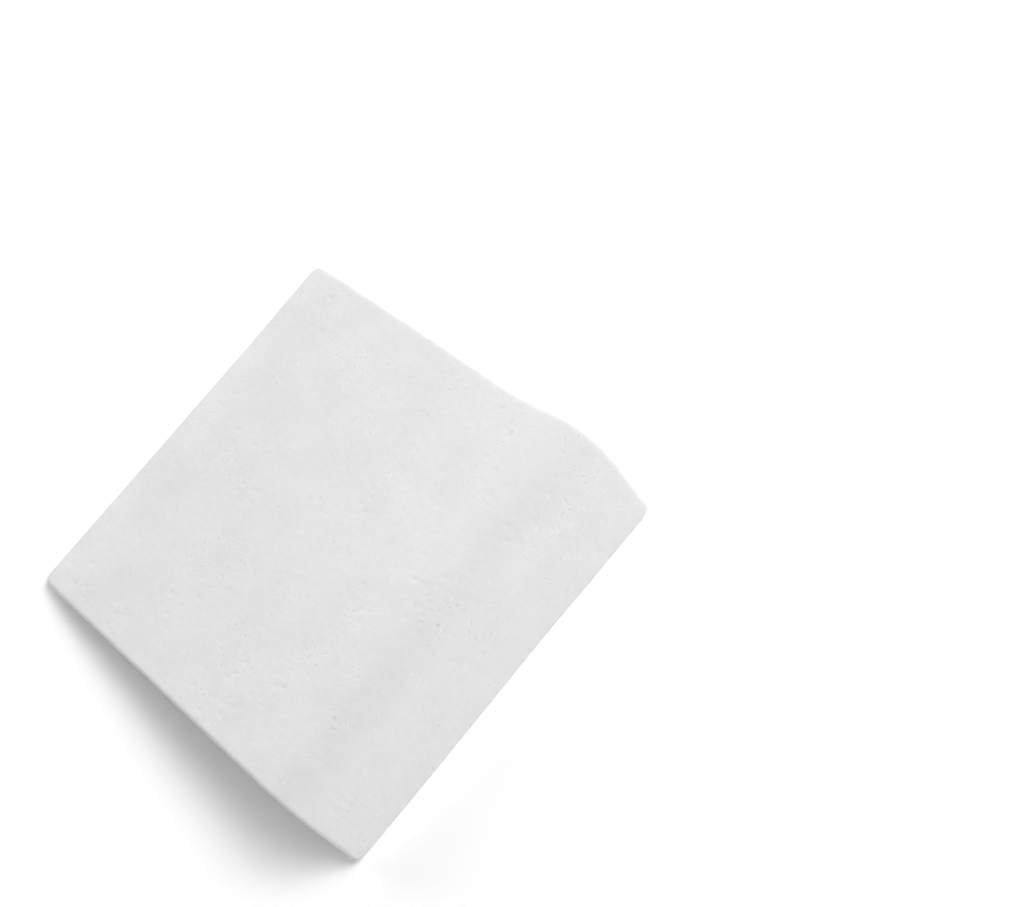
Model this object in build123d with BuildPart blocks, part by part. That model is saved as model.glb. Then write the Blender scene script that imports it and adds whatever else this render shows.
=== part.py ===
"""Foam packaging liner: one piece of soft closed-cell foam that has taken a set.

It lies as it comes to rest, crown up, on the soft rims of its two ends: the foot end,
which dips a little, and the flap, which is bent down from the panel to the surface.
X runs from the foot end to the flap, Y across the piece and Z up. The origin is on that
surface, under the middle of the piece.
"""

import os
from math import atan2, degrees, radians

from build123d import *

# The sheet, in millimetres.
WIDTH = 290.0  # across, along the straight lines that the bends leave
THICKNESS = 6.4
PANEL_LENGTH = 218.0  # the flat stretch between the two bends
FLAP_LENGTH = 45.0  # the straight stretch beyond the second bend
CORNER_RADIUS = 6.0  # the four corners, as seen on the face
RIM_RADIUS = 2.4  # the soft rim between each face and the cut edge

# The bends: radius at the middle of the thickness in millimetres, turn in degrees.
FOOT_RADIUS = 215.0
FOOT_TURN = 12.0
FLAP_RADIUS = 30.5
FLAP_TURN = 75.0

MID = THICKNESS / 2
STRETCHES = 4  # foot, panel, bend and flap, each with a face above and one below


def long_side(height, heading):
    """Draw the section's line that lies height above the middle of the thickness."""
    start = Vector(0, height).rotate(Axis.Z, heading)
    along = Vector(1, 0).rotate(Axis.Z, heading)
    foot = JernArc(start, along, FOOT_RADIUS + height, -FOOT_TURN)
    panel = Line(foot @ 1, foot @ 1 + (foot % 1) * PANEL_LENGTH)
    bend = JernArc(panel @ 1, panel % 1, FLAP_RADIUS + height, -FLAP_TURN)
    flap = Line(bend @ 1, bend @ 1 + (bend % 1) * FLAP_LENGTH)
    return foot, flap


# Drawn with its foot end level, the line that the two lower rims turn about slopes.
# The whole section is turned back by that slope, so that both rims touch the surface.
with BuildLine() as level:
    foot_line, flap_line = long_side(RIM_RADIUS - MID, 0)
foot_rim = foot_line @ 0 + (foot_line % 0) * RIM_RADIUS
flap_rim = flap_line @ 1 - (flap_line % 1) * RIM_RADIUS
slope = degrees(atan2(flap_rim.Y - foot_rim.Y, flap_rim.X - foot_rim.X))

with BuildPart() as sheet:
    with BuildSketch(Plane.XZ):
        with BuildLine():
            upper_foot, upper_flap = long_side(MID, -slope)
            lower_foot, lower_flap = long_side(-MID, -slope)
            Line(upper_foot @ 0, lower_foot @ 0)
            Line(upper_flap @ 1, lower_flap @ 1)
        make_face()
    extrude(amount=WIDTH / 2, both=True)
    corners = sheet.edges().filter_by(lambda edge: abs(edge.length - THICKNESS) < 0.01)
    fillet(corners, CORNER_RADIUS)
    cut_edges = sheet.faces().sort_by(SortBy.AREA)[: -2 * STRETCHES]
    rims = cut_edges.edges().filter_by(lambda edge: abs(edge.length - THICKNESS) > 0.01)
    fillet(rims, RIM_RADIUS)

# The rims' lowest lines come down to the surface, and the middle over the origin.
bounds = sheet.part.bounding_box()
with BuildPart() as foam_liner:
    with Locations((-bounds.center().X, 0, -bounds.min.Z)):
        add(sheet.part)

os.makedirs("parts", exist_ok=True)
foam_liner.part.label = "foam_liner"
export_step(foam_liner.part, "parts/foam_liner.step")

foot_length = FOOT_RADIUS * radians(FOOT_TURN)
bend_length = FLAP_RADIUS * radians(FLAP_TURN)
flat_length = foot_length + PANEL_LENGTH + bend_length + FLAP_LENGTH
print(f"cut flat: {flat_length:.1f} x {WIDTH:.1f} x {THICKNESS} mm, foot end up by {-slope:.2f} degrees")
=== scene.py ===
"""Foam packaging liner: a bent sheet of white closed-cell foam, and a plain studio.

The sheet is modelled flat, as it was cut: a rounded rectangle is extruded, its rims are
softened and it is remeshed into even faces. It is then given the relief that foam has,
and last it is bent into the set that it has taken, so that it lies on its two ends.
"""

import math
import random

import bpy
import numpy as np
from mathutils import Matrix, Vector, kdtree


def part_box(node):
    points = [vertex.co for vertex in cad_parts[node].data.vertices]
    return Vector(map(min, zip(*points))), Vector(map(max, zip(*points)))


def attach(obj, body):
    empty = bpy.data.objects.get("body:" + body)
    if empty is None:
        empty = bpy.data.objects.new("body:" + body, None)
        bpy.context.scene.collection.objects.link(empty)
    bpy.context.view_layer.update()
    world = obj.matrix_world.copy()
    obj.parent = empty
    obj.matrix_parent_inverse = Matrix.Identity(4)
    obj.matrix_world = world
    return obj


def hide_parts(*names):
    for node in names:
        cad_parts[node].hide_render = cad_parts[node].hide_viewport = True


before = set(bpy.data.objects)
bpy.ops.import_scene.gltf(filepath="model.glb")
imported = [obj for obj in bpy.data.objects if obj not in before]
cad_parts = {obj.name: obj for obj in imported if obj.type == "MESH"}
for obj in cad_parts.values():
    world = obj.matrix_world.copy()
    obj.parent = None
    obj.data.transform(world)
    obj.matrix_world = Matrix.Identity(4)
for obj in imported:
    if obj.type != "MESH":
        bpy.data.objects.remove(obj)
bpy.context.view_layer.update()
NODE = "foam_liner"
NODE_LOW, NODE_HIGH = (Vector(corner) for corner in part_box(NODE))
MM = 0.001

bl_info = {
    "name": "Foam packaging liner",
    "version": (1, 0, 0),
    "blender": (4, 5, 0),
    "location": "3D View > Sidebar > Liner",
    "description": "Builds a bent sheet of white foam and a plain studio for it",
    "category": "Object",
}


# ---------------------------------------------------------------- sizes and colours


def length(name, description, millimetres, low=0.0, high=2000.0):
    """A length property, given in millimetres and kept in metres."""
    return bpy.props.FloatProperty(
        name=name,
        description=description,
        default=millimetres * MM,
        min=low * MM,
        max=high * MM,
        precision=5,
        unit="LENGTH",
    )


def turn(name, description, angle):
    """An angle property, given in degrees and kept in radians."""
    return bpy.props.FloatProperty(
        name=name,
        description=description,
        default=math.radians(angle),
        min=0.0,
        max=math.pi,
        unit="ROTATION",
    )


def share(name, description, default, high=1.0):
    """A plain number from nought up."""
    return bpy.props.FloatProperty(
        name=name, description=description, default=default, min=0.0, max=high
    )


def colour(name, description, default):
    """A colour property."""
    return bpy.props.FloatVectorProperty(
        name=name,
        description=description,
        default=default,
        size=3,
        min=0.0,
        max=1.0,
        subtype="COLOR",
    )


class LinerSizes(bpy.types.PropertyGroup):
    """What a maker would set: the cut sheet and the bends it has taken."""

    width: length(
        "Width",
        "Size of the sheet across its bends",
        (NODE_HIGH.y - NODE_LOW.y) / MM,
    )
    thickness: length("Thickness", "Thickness of the foam", 6.4)
    panel_length: length("Panel length", "Flat stretch between the two bends", 218.0)
    flap_length: length("Flap length", "Straight stretch beyond the flap's bend", 45.0)
    corner_radius: length("Corner radius", "Rounding of the four corners", 6.0)
    rim_radius: length("Rim radius", "Soft rim between a face and the cut edge", 2.4)
    foot_radius: length("Foot radius", "Radius of the gentle bend", 215.0)
    foot_turn: turn("Foot turn", "Turn of the gentle bend", 12.0)
    flap_radius: length("Flap radius", "Radius of the bend down to the flap", 30.5)
    flap_turn: turn("Flap turn", "Turn of the bend down to the flap", 75.0)
    face_size: length("Face size", "Size of one face of the mesh", 1.5, 0.5, 10.0)


class FoamRelief(bpy.types.PropertyGroup):
    """The uneven surface that blown foam has."""

    wave_length: length("Wave length", "Size of the slow waves in the sheet", 110.0)
    wave_height: length("Wave height", "Height of the slow waves", 1.6)
    dimple_length: length("Dimple length", "Size of the shallow dimples", 13.0)
    dimple_height: length("Dimple height", "Height of the shallow dimples", 0.34)
    cell_length: length("Cell length", "Size of the raised foam cells", 3.6)
    cell_height: length("Cell height", "Height of the raised foam cells", 0.12)
    edge_bow: length("Edge bow", "How far the far long edge swells at the bend", 5.0)
    pit_clusters: bpy.props.IntProperty(
        name="Pit clusters",
        description="Groups of burst cells on the sheet",
        default=54,
        min=0,
    )
    pit_depth: length("Pit depth", "Deepest burst cell", 0.7)
    seed: bpy.props.IntProperty(
        name="Seed", description="Start of the random draws", default=11, min=0
    )


class LinerColours(bpy.types.PropertyGroup):
    """The colours of the foam and of the studio."""

    foam: colour("Foam", "Skin of the foam", (0.80, 0.80, 0.80))
    # Darker colour: random tone in the mottling and grain, darker borders of the coarse
    # cells, and painted shade in the burst pits.
    tone_and_painted_shade: colour("Cell shade", "Thin places between the cells", (0.70, 0.70, 0.70))
    # Paler colour of the cut rim, partly the cut foam's own colour and partly a painted
    # highlight on the rim; the painted highlights on pit lips and proud cells use it too.
    cut: colour("Cut edge", "Freshly cut rim", (0.92, 0.92, 0.92))
    floor: colour("Floor", "Floor of the studio", (0.90, 0.90, 0.90))


class StudioSetup(bpy.types.PropertyGroup):
    """The lens and the levels of light; a level is what reaches a level white floor."""

    sky: share("Sky", "Level of the even light from all round", 0.155, 2.0)
    back: share("Back", "Level of the high lamp beyond the far long edge", 0.28, 2.0)
    flap_side: share("Flap side", "Level of the low lamp beyond the flap", 0.10, 2.0)
    foot_side: share("Foot side", "Level of the low lamp beyond the foot end", 0.175, 2.0)
    rim_side: share("Rim side", "Level of the low lamp on the near long edge", 0.015, 2.0)
    near: share("Near", "Level of the close lamp that lights one edge more", 0.21, 2.0)
    floor_gain: share("Floor gain", "Extra white that is seen in the floor", 0.30)
    lens: share("Lens", "Focal length in millimetres", 71.2, 500.0)


# ------------------------------------------------------------------- small helpers


def deselect_all():
    """Leaves object mode with nothing selected."""
    if bpy.context.object and bpy.context.object.mode != "OBJECT":
        bpy.ops.object.mode_set(mode="OBJECT")
    bpy.ops.object.select_all(action="DESELECT")


def make_active(piece):
    """Selects one object alone."""
    deselect_all()
    piece.select_set(True)
    bpy.context.view_layer.objects.active = piece


def apply_modifier(piece, kind, name, **settings):
    """Adds a modifier with these settings and applies it."""
    make_active(piece)
    modifier = piece.modifiers.new(name, kind)
    for key, value in settings.items():
        setattr(modifier, key, value)
    bpy.ops.object.modifier_apply(modifier=modifier.name)


def read_points(mesh):
    """The mesh's points, one row each."""
    flat = np.empty(len(mesh.vertices) * 3)
    mesh.vertices.foreach_get("co", flat)
    return flat.reshape(-1, 3)


def write_points(mesh, points):
    """Puts the points back."""
    mesh.vertices.foreach_set("co", points.ravel())
    mesh.update()


def read_normals(mesh):
    """The direction that each point faces."""
    flat = np.empty(len(mesh.vertices) * 3)
    mesh.vertex_normals.foreach_get("vector", flat)
    return flat.reshape(-1, 3)


def flat_length(sizes):
    """The length of the sheet over its bends, which is how long it was cut."""
    foot = sizes.foot_radius * sizes.foot_turn
    bend = sizes.flap_radius * sizes.flap_turn
    return foot + sizes.panel_length + bend + sizes.flap_length


# ----------------------------------------------------------------- modelling the sheet


def cut_blank(sizes):
    """The flat sheet: a rounded rectangle, extruded, with its rims softened."""
    deselect_all()
    bpy.ops.mesh.primitive_plane_add(size=1, location=(0, 0, 0))
    blank = bpy.context.object
    blank.name = "foam_sheet"
    bpy.ops.object.mode_set(mode="EDIT")
    bpy.ops.mesh.select_all(action="SELECT")
    bpy.ops.transform.resize(value=(flat_length(sizes), sizes.width, 1))
    bpy.ops.transform.translate(value=(0, 0, -sizes.thickness / 2))
    bpy.ops.mesh.bevel(
        offset=sizes.corner_radius, segments=8, affect="VERTICES", offset_type="OFFSET"
    )
    bpy.ops.mesh.select_all(action="SELECT")
    bpy.ops.mesh.extrude_region_move(
        TRANSFORM_OT_translate={"value": (0, 0, sizes.thickness)}
    )
    bpy.ops.mesh.select_all(action="SELECT")
    bpy.ops.mesh.normals_make_consistent(inside=False)
    select_rims(blank)
    bpy.ops.mesh.bevel(offset=sizes.rim_radius, segments=4, affect="EDGES")
    bpy.ops.object.mode_set(mode="OBJECT")
    return blank


def select_rims(blank):
    """Selects the edges that lie flat, which are those round the two faces."""
    bpy.ops.mesh.select_all(action="DESELECT")
    bpy.ops.mesh.select_mode(type="EDGE")
    bpy.ops.object.mode_set(mode="OBJECT")
    points = blank.data.vertices
    for edge in blank.data.edges:
        start, end = (points[index].co for index in edge.vertices)
        edge.select = abs(start.z - end.z) < 0.1 * MM
    bpy.ops.object.mode_set(mode="EDIT")


def even_faces(sheet, sizes):
    """Covers the sheet with small faces of one size, for the relief to move."""
    apply_modifier(
        sheet,
        "REMESH",
        "even faces",
        mode="VOXEL",
        voxel_size=sizes.face_size,
        adaptivity=0,
        use_smooth_shade=True,
    )
    apply_modifier(sheet, "SMOOTH", "relax rims", factor=0.5, iterations=3)


def noise_relief(sheet, name, kind, size, height, direction="NORMAL", **texture_settings):
    """Moves the surface by a procedural noise of the given size and height."""
    texture = bpy.data.textures.new(name, kind)
    texture.noise_scale = size
    for key, value in texture_settings.items():
        setattr(texture, key, value)
    apply_modifier(
        sheet,
        "DISPLACE",
        name,
        texture=texture,
        texture_coords="LOCAL",
        direction=direction,
        strength=height,
        mid_level=0.5,
    )
    bpy.data.textures.remove(texture)


def blown_surface(sheet, relief):
    """Slow waves through the sheet, shallow dimples, and the raised cells."""
    noise_relief(
        sheet,
        "slow waves",
        "CLOUDS",
        relief.wave_length,
        relief.wave_height,
        direction="Z",
        noise_depth=1,
    )
    noise_relief(
        sheet,
        "shallow dimples",
        "CLOUDS",
        relief.dimple_length,
        relief.dimple_height,
        noise_depth=2,
    )
    noise_relief(
        sheet,
        "raised cells",
        "VORONOI",
        relief.cell_length,
        relief.cell_height,
    )


def burst_cells(sheet, sizes, relief):
    """Presses small pits into both faces, in loose groups, as burst cells lie."""
    draw = random.Random(relief.seed)
    points = read_points(sheet.data)
    normals = read_normals(sheet.data)
    tree = kdtree.KDTree(len(points))
    for index, point in enumerate(points):
        tree.insert(point, index)
    tree.balance()
    half_length, half_width = flat_length(sizes) / 2, sizes.width / 2
    depth = np.zeros(len(points))
    for _ in range(relief.pit_clusters):
        side = draw.choice((-1, 1))
        middle = Vector(
            (
                draw.uniform(-half_length, half_length),
                draw.uniform(-half_width, half_width),
                side * sizes.thickness / 2,
            )
        )
        spread = draw.uniform(4, 16) * MM
        for _ in range(draw.randint(2, 11)):
            place = middle + Vector((draw.gauss(0, spread), draw.gauss(0, spread), 0))
            radius = draw.uniform(1.6, 3.0) * MM
            deepest = draw.uniform(0.35, 1.0) * relief.pit_depth
            for _, index, distance in tree.find_range(place, radius):
                bowl = (1 - (distance / radius) ** 2) ** 2
                depth[index] = max(depth[index], deepest * bowl)
    write_points(sheet.data, points - normals * depth[:, None])


def swell_far_edge(sheet, sizes, relief):
    """The far long edge was not cut quite straight: it swells where the flap bends."""
    points = read_points(sheet.data)
    bend_start = sizes.foot_radius * sizes.foot_turn + sizes.panel_length
    bend = sizes.flap_radius * sizes.flap_turn
    middle = bend_start + 0.25 * bend - flat_length(sizes) / 2
    before, beyond = 1.6 * bend, flat_length(sizes) / 2 - middle
    away = points[:, 0] - middle
    away = np.clip(np.where(away < 0, away / before, away / beyond), -1, 1)
    swell = relief.edge_bow * np.cos(away * math.pi / 2) ** 2
    far = np.clip(points[:, 1] / (sizes.width / 2), 0, 1)
    points[:, 1] += swell * far**2
    write_points(sheet.data, points)


def mark_cut_edge(sheet, sizes):
    """Keeps how near each point is to the cut edge, for the finish to read: there it paints
    the rim paler, partly as its own colour and partly as a painted highlight.
    """
    points = np.abs(read_points(sheet.data))
    from_end = flat_length(sizes) / 2 - points[:, 0]
    from_side = sizes.width / 2 - points[:, 1]
    distance = np.minimum(from_end, from_side)
    nearness = np.clip(1 - distance / sizes.rim_radius, 0, 1)
    attribute = sheet.data.attributes.new("cut_edge", "FLOAT", "POINT")
    attribute.data.foreach_set("value", nearness.astype(np.float32))


def middle_line(sizes, lift, steps=4000):
    """The bent middle line as distances along it, and X, Z and heading at each.

    It starts at the foot end, heading upwards by lift, turns downwards through the foot
    bend, runs straight along the panel, and turns down again to the straight flap.
    """
    along = np.linspace(0, flat_length(sizes), steps)
    foot_end = sizes.foot_radius * sizes.foot_turn
    bend_start = foot_end + sizes.panel_length
    foot_share = np.clip(along / foot_end, 0, 1)
    bend_share = np.clip((along - bend_start) / (sizes.flap_radius * sizes.flap_turn), 0, 1)
    heading = lift - foot_share * sizes.foot_turn - bend_share * sizes.flap_turn
    mean = (heading[1:] + heading[:-1]) / 2
    step = along[1] - along[0]
    x = np.concatenate([[0], np.cumsum(np.cos(mean)) * step])
    z = np.concatenate([[0], np.cumsum(np.sin(mean)) * step])
    return along, x, z, heading


def resting_lift(sizes):
    """The slope of the foot end that lets both ends' lower rims touch the floor."""
    _, x, z, heading = middle_line(sizes, 0.0)
    down = sizes.rim_radius - sizes.thickness / 2
    rims = []
    for end, inward in ((0, 1), (-1, -1)):
        ahead = np.array([math.cos(heading[end]), math.sin(heading[end])])
        across = np.array([-ahead[1], ahead[0]])
        place = np.array([x[end], z[end]]) + ahead * inward * sizes.rim_radius
        rims.append(place + across * down)
    fall = rims[1] - rims[0]
    return -math.atan2(fall[1], fall[0])


def take_set(sheet, sizes):
    """Bends the flat sheet and lays it on the floor, over the CAD piece's place."""
    along, x, z, heading = middle_line(sizes, resting_lift(sizes))
    points = read_points(sheet.data)
    place = points[:, 0] + flat_length(sizes) / 2
    at = np.clip(place, 0, flat_length(sizes))
    over = place - at
    angle = np.interp(at, along, heading)
    height = points[:, 2]
    bent = points.copy()
    bent[:, 0] = np.interp(at, along, x) + over * np.cos(angle) - height * np.sin(angle)
    bent[:, 2] = np.interp(at, along, z) + over * np.sin(angle) + height * np.cos(angle)
    bent[:, 0] += (NODE_LOW.x + NODE_HIGH.x - bent[:, 0].min() - bent[:, 0].max()) / 2
    bent[:, 2] += NODE_LOW.z - bent[:, 2].min()
    write_points(sheet.data, bent)


# -------------------------------------------------------------------------- materials

# The sizes of what shows on the skin, from the smallest to the largest.
FINE_CELL = 1.5 * MM
GRAIN = 2.2 * MM
DRIFT_SIZE = 2.6 * MM
PROUD_CELL = 3.6 * MM
COARSE_CELL = 4.2 * MM
BURST_CELL = 4.4 * MM
MOTTLE = 30 * MM
BURST_GROUP = 38 * MM
# How far a place drifts, how much of the cells stands proud or is burst, and how strongly
# a painted highlight pales the pits' lips and the proud cells.
DRIFT = 5.2 * MM
PROUD_PART = 0.12
BURST_PART = 0.34
PAINTED_HIGHLIGHT_LEVEL = 0.32
BUMP_HEIGHT = 0.35 * MM
GLOW_DEPTH = 2.5 * MM


class Nodes:
    """A short way to place and join the nodes of one material."""

    def __init__(self, name):
        self.material = bpy.data.materials.new(name)
        self.material.use_nodes = True
        self.tree = self.material.node_tree
        self.tree.nodes.clear()
        self.output = self.add("ShaderNodeOutputMaterial")

    def add(self, kind, inputs=None, **settings):
        """Places a node, and joins or sets its inputs."""
        node = self.tree.nodes.new(kind)
        for key, value in settings.items():
            setattr(node, key, value)
        for key, value in (inputs or {}).items():
            if isinstance(value, bpy.types.NodeSocket):
                self.tree.links.new(value, node.inputs[key])
            else:
                node.inputs[key].default_value = value
        return node

    def math(self, operation, first, second):
        """Joins two values by one sum."""
        node = self.add("ShaderNodeMath", {0: first, 1: second}, operation=operation)
        return node.outputs[0]

    def spread(self, value, low, high, to_low=0.0, to_high=1.0):
        """Stretches the values from low to high over the new range."""
        node = self.add(
            "ShaderNodeMapRange",
            {0: value, 1: low, 2: high, 3: to_low, 4: to_high},
            interpolation_type="SMOOTHSTEP",
        )
        return node.outputs[0]

    def total(self, *parts):
        """Adds up values, each given with its weight."""
        so_far = None
        for value, weight in parts:
            weighted = self.math("MULTIPLY", value, weight)
            so_far = weighted if so_far is None else self.math("ADD", so_far, weighted)
        return so_far

    def mix(self, factor, first, second):
        """Blends two colours."""
        node = self.add("ShaderNodeMix", {0: factor, 6: first, 7: second})
        node.data_type = "RGBA"
        return node.outputs[2]


def noise(nodes, place, size, detail=2.0, roughness=0.5):
    """Smooth noise whose features are about this size."""
    node = nodes.add(
        "ShaderNodeTexNoise",
        {"Vector": place, "Scale": 1 / size, "Detail": detail, "Roughness": roughness},
    )
    return node.outputs[0]


def cells(nodes, place, size, feature="SMOOTH_F1"):
    """Rounded cells of about this size: distance from the middle, and a draw for each."""
    node = nodes.add(
        "ShaderNodeTexVoronoi", {"Vector": place, "Scale": 1 / size}, feature=feature
    )
    return node.outputs["Distance"], node.outputs["Color"]


def a_few(nodes, draw, part, where):
    """Picks this part of the cells by their draw, and as far as where allows."""
    red = nodes.add("ShaderNodeSeparateColor", {"Color": draw}).outputs[0]
    picked = nodes.math("LESS_THAN", red, part)
    return nodes.math("MULTIPLY", picked, where)


def uneven_place(nodes, place):
    """Shifts each place a little, so that the cells lose their round outlines."""
    drift = nodes.add(
        "ShaderNodeTexNoise", {"Vector": place, "Scale": 1 / DRIFT_SIZE, "Detail": 1.0}
    ).outputs["Color"]
    either_way = nodes.add(
        "ShaderNodeVectorMath", {0: drift, 1: (0.5, 0.5, 0.5)}, operation="SUBTRACT"
    ).outputs[0]
    return nodes.add(
        "ShaderNodeVectorMath",
        {0: either_way, 1: (DRIFT, DRIFT, DRIFT), 2: place},
        operation="MULTIPLY_ADD",
    ).outputs[0]


def opaque(value):
    """A colour property as a shader colour."""
    return (*value, 1.0)


def foam_material(colours):
    """White closed-cell foam: fine cells, faint mottling, painted shade in the burst pits,
    painted highlights on pit lips and proud cells, and a brighter cut edge, partly its own
    colour and partly a painted highlight.
    """
    nodes = Nodes("white foam")
    place = nodes.add("ShaderNodeTexCoord").outputs["Object"]
    cut = nodes.add("ShaderNodeAttribute", attribute_name="cut_edge").outputs["Fac"]

    fine, _ = cells(nodes, place, FINE_CELL)
    coarse, _ = cells(nodes, place, COARSE_CELL)
    mottle = noise(nodes, place, MOTTLE, 2.0, 0.5)
    grain = noise(nodes, place, GRAIN, 2.0, 0.6)
    uneven = uneven_place(nodes, place)

    # Burst cells lie in loose groups, each an uneven pit darkened by painted shade, with a
    # lip paled by a painted highlight.
    groups = nodes.spread(noise(nodes, place, BURST_GROUP, 1.0, 0.5), 0.42, 0.62)
    burst_from, burst_draw = cells(nodes, uneven, BURST_CELL, "F1")
    burst = a_few(nodes, burst_draw, BURST_PART, groups)
    pit = nodes.math("MULTIPLY", burst, nodes.spread(burst_from, 0.1, 0.4, 1.0, 0.0))
    lip_highlight = nodes.math("MULTIPLY", burst, nodes.spread(burst_from, 0.34, 0.44))
    lip_highlight = nodes.math("MULTIPLY", lip_highlight, nodes.spread(burst_from, 0.44, 0.56, 1.0, 0.0))
    # Single cells stand proud all over the sheet, and a painted highlight pales them.
    proud_from, proud_draw = cells(nodes, uneven, PROUD_CELL, "F1")
    proud = a_few(nodes, proud_draw, PROUD_PART, 1.0)
    bead = nodes.math("MULTIPLY", proud, nodes.spread(proud_from, 0.08, 0.4, 1.0, 0.0))

    # How far the skin goes to the darker colour: darker towards the coarse cells' borders,
    # painted shade in the burst pits, and random tone from the mottling and the grain.
    painted_shade_and_tone = nodes.total(
        (nodes.spread(coarse, 0.35, 0.85), 0.16),
        (nodes.spread(mottle, 0.3, 0.7), 0.16),
        (nodes.spread(grain, 0.35, 0.7), 0.14),
        (pit, 0.5),
    )
    skin = nodes.mix(painted_shade_and_tone, opaque(colours.foam), opaque(colours.tone_and_painted_shade))
    # Painted highlight: the pits' lips and the proud cells are drawn towards the pale cut
    # colour.
    pale = nodes.math("MULTIPLY", nodes.math("MAXIMUM", lip_highlight, bead), PAINTED_HIGHLIGHT_LEVEL)
    # The cut rim is paler too, partly its own colour and partly a painted highlight.
    edge = nodes.spread(cut, 0.45, 0.95)
    base = nodes.mix(nodes.math("MAXIMUM", pale, edge), skin, opaque(colours.cut))

    height = nodes.total((fine, -0.35), (coarse, -0.45), (pit, -0.9), (bead, 0.5))
    bump = nodes.add(
        "ShaderNodeBump", {"Height": height, "Distance": BUMP_HEIGHT, "Strength": 0.5}
    )
    rough = nodes.spread(mottle, 0.3, 0.7, 0.52, 0.68)
    skin_shader = nodes.add(
        "ShaderNodeBsdfPrincipled",
        {
            "Base Color": base,
            "Roughness": rough,
            "IOR": 1.45,
            "Specular IOR Level": 0.32,
            "Normal": bump.outputs[0],
            "Subsurface Weight": 0.12,
            "Subsurface Radius": (1.0, 1.0, 1.0),
            "Subsurface Scale": GLOW_DEPTH,
        },
    )
    nodes.tree.links.new(skin_shader.outputs[0], nodes.output.inputs[0])
    return nodes.material


def seen_directly(tree):
    """One for rays from the camera, off gloss or through glass, and nought for the rest."""
    path = tree.nodes.new("ShaderNodeLightPath")
    total = path.outputs["Is Camera Ray"]
    for kind in ("Is Glossy Ray", "Is Transmission Ray"):
        either = tree.nodes.new("ShaderNodeMath")
        either.operation = "MAXIMUM"
        tree.links.new(total, either.inputs[0])
        tree.links.new(path.outputs[kind], either.inputs[1])
        total = either.outputs[0]
    return total


def floor_material(colours, gain):
    """A plain pale floor that keeps the shadow, and looks whiter than it lights."""
    nodes = Nodes("studio floor")
    plain = nodes.add("ShaderNodeBsdfDiffuse", {"Color": opaque(colours.floor)})
    extra = nodes.add("ShaderNodeBsdfDiffuse", {"Color": (gain, gain, gain, 1.0)})
    both = nodes.add("ShaderNodeAddShader", {0: plain.outputs[0], 1: extra.outputs[0]})
    seen = nodes.add(
        "ShaderNodeMixShader",
        {0: seen_directly(nodes.tree), 1: plain.outputs[0], 2: both.outputs[0]},
    )
    nodes.tree.links.new(seen.outputs[0], nodes.output.inputs[0])
    return nodes.material


# ------------------------------------------------------------------------- the studio

EYE = Vector((0.6407, -0.0449, 1.1933))  # where the camera stands, in metres
AIM = Vector((0.0536, 0.1202, 0.0))  # the place on the floor in the middle of the view
FRAME_TOP = Vector((-0.662, 0.7495, 0.0))  # the way along the floor that shows as up
FLOOR_SIZE = 30.0
# Soft lamps, each with the way to it, its height above the horizon and its width.
FAR_LAMPS = {
    "back": ((0.42, 0.91), 53, 30),
    "flap_side": ((1.0, 0.14), 16, 50),
    "foot_side": ((-1.0, 0.1), 16, 56),
    "rim_side": ((-0.1, -1.0), 10, 36),
}
NEAR_LAMP_PLACE = Vector((0.2, 0.72, 0.85))
NEAR_LAMP_SIZE = 0.6


def facing(place, target, up):
    """A matrix for a lamp or camera at place that looks at target, with up on top."""
    back = (place - target).normalized()
    right = up.cross(back).normalized()
    top = back.cross(right)
    turned = Matrix((right, top, back)).transposed().to_4x4()
    return Matrix.Translation(place) @ turned


def add_floor(colours, gain):
    """A wide flat floor."""
    deselect_all()
    bpy.ops.mesh.primitive_plane_add(size=FLOOR_SIZE, location=(0, 0, NODE_LOW.z))
    floor = bpy.context.object
    floor.name = "studio_floor"
    floor.data.materials.append(floor_material(colours, gain))


def add_lamp(name, kind, place):
    """A lamp that looks at the middle of the sheet."""
    deselect_all()
    bpy.ops.object.light_add(type=kind)
    lamp = bpy.context.object
    lamp.name = name
    lamp.matrix_world = facing(place, Vector((0, 0, 0)), Vector((0, 0, 1)))
    return lamp


def add_far_lamp(name, towards, height, width, level):
    """A far soft lamp that lights a level floor to this level; angles are in degrees."""
    rise = math.radians(height)
    flat = Vector((*towards, 0)).normalized()
    lamp = add_lamp(name, "SUN", flat * math.cos(rise) + Vector((0, 0, math.sin(rise))))
    lamp.data.angle = math.radians(width)
    lamp.data.energy = math.pi * level / math.sin(rise)


def add_near_lamp(level):
    """A close soft lamp, so that the light falls off across the sheet."""
    lamp = add_lamp("near_lamp", "AREA", NEAR_LAMP_PLACE)
    lamp.data.shape = "SQUARE"
    lamp.data.size = NEAR_LAMP_SIZE
    distance = NEAR_LAMP_PLACE.length
    lamp.data.energy = level * math.pi**2 * distance**3 / NEAR_LAMP_PLACE.z


def add_sky(strength):
    """Even light from all round, and a white background for the camera."""
    world = bpy.data.worlds.new("studio_sky")
    world.use_nodes = True
    bpy.context.scene.world = world
    tree = world.node_tree
    tree.nodes.clear()
    lit = tree.nodes.new("ShaderNodeBackground")
    lit.inputs["Strength"].default_value = strength
    lit.inputs["Color"].default_value = (1, 1, 1, 1)
    seen = tree.nodes.new("ShaderNodeBackground")
    seen.inputs["Color"].default_value = (1, 1, 1, 1)
    mix = tree.nodes.new("ShaderNodeMixShader")
    output = tree.nodes.new("ShaderNodeOutputWorld")
    tree.links.new(seen_directly(tree), mix.inputs[0])
    tree.links.new(lit.outputs[0], mix.inputs[1])
    tree.links.new(seen.outputs[0], mix.inputs[2])
    tree.links.new(mix.outputs[0], output.inputs[0])


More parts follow.
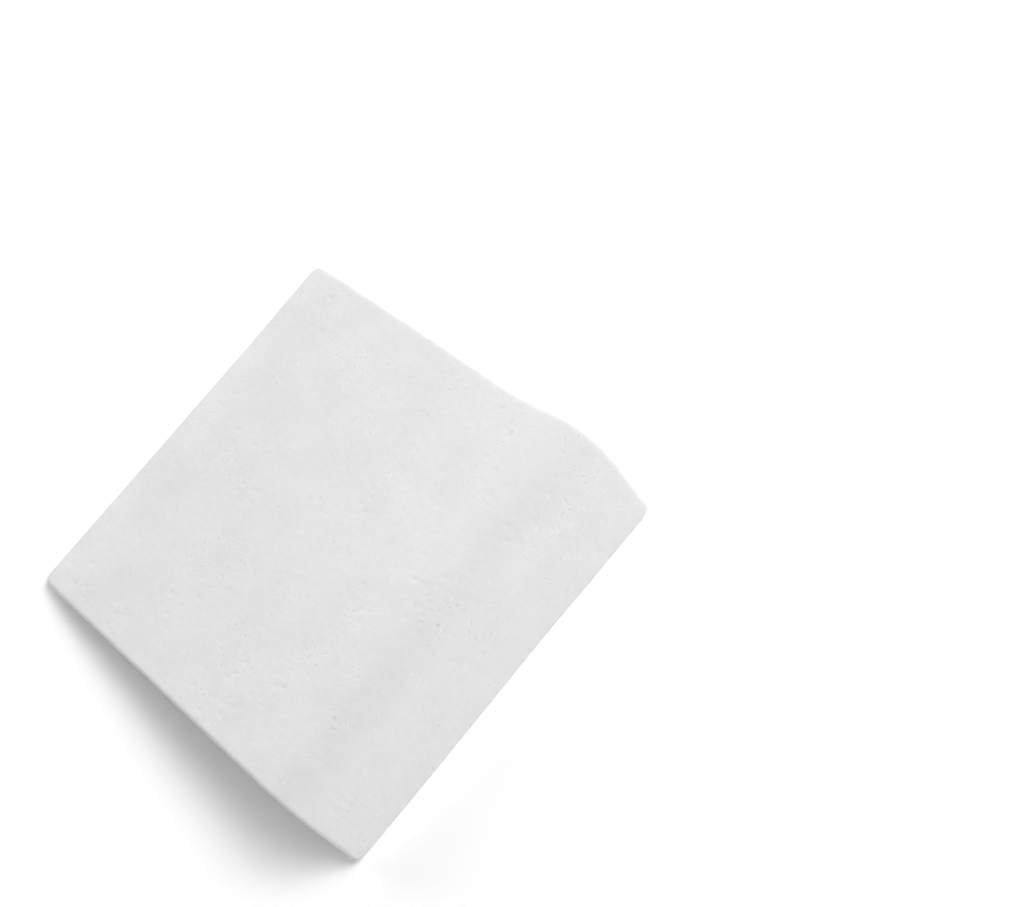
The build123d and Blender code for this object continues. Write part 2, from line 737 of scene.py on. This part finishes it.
def add_camera(lens):
    """The camera, looking down on the sheet."""
    deselect_all()
    bpy.ops.object.camera_add()
    camera = bpy.context.object
    camera.name = "studio_camera"
    camera.data.lens = lens
    camera.data.sensor_width = 36.0
    camera.data.clip_end = 50.0
    camera.matrix_world = facing(EYE, AIM, FRAME_TOP)
    bpy.context.scene.camera = camera


# -------------------------------------------------------------------------- operators


class LINER_OT_foam_sheet(bpy.types.Operator):
    """Build the bent sheet of foam."""

    bl_idname = "liner.foam_sheet"
    bl_label = "Foam sheet"
    bl_options = {"REGISTER", "UNDO"}

    def execute(self, context):
        settings = context.scene
        sizes = settings.liner_sizes
        sheet = cut_blank(sizes)
        even_faces(sheet, sizes)
        mark_cut_edge(sheet, sizes)
        blown_surface(sheet, settings.liner_relief)
        burst_cells(sheet, sizes, settings.liner_relief)
        swell_far_edge(sheet, sizes, settings.liner_relief)
        take_set(sheet, sizes)
        sheet.data.materials.clear()
        sheet.data.materials.append(foam_material(settings.liner_colours))
        make_active(sheet)
        bpy.ops.object.shade_smooth()
        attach(sheet, "root")
        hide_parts(NODE)
        return {"FINISHED"}


class LINER_OT_studio(bpy.types.Operator):
    """Set up the floor, the lamps and the camera."""

    bl_idname = "liner.studio"
    bl_label = "Studio"
    bl_options = {"REGISTER", "UNDO"}

    def execute(self, context):
        studio = context.scene.liner_studio
        add_floor(context.scene.liner_colours, studio.floor_gain)
        add_sky(studio.sky)
        for name, aim in FAR_LAMPS.items():
            add_far_lamp(f"{name}_lamp", *aim, getattr(studio, name))
        add_near_lamp(studio.near)
        add_camera(studio.lens)
        context.scene.view_settings.view_transform = "Standard"
        return {"FINISHED"}


class VIEW3D_PT_foam_liner(bpy.types.Panel):
    """Lists the steps and the settings in the sidebar."""

    bl_label = "Foam packaging liner"
    bl_space_type = "VIEW_3D"
    bl_region_type = "UI"
    bl_category = "Liner"

    def draw(self, context):
        layout = self.layout
        for group in GROUPS:
            box = layout.box()
            owner = getattr(context.scene, group)
            for name in GROUPS[group].__annotations__:
                box.prop(owner, name)
        for operator in (LINER_OT_foam_sheet, LINER_OT_studio):
            layout.operator(operator.bl_idname)


GROUPS = {
    "liner_sizes": LinerSizes,
    "liner_relief": FoamRelief,
    "liner_colours": LinerColours,
    "liner_studio": StudioSetup,
}
CLASSES = (*GROUPS.values(), LINER_OT_foam_sheet, LINER_OT_studio, VIEW3D_PT_foam_liner)


def register():
    """Registers the classes and hangs the settings on the scene."""
    for each in CLASSES:
        bpy.utils.register_class(each)
    for name, group in GROUPS.items():
        setattr(bpy.types.Scene, name, bpy.props.PointerProperty(type=group))


def unregister():
    """Takes the settings off the scene and the classes out."""
    for name in GROUPS:
        delattr(bpy.types.Scene, name)
    for each in reversed(CLASSES):
        bpy.utils.unregister_class(each)


def main():
    """Builds the sheet and the studio."""
    register()
    bpy.ops.liner.foam_sheet()
    bpy.ops.liner.studio()


if __name__ == "__main__":
    main()
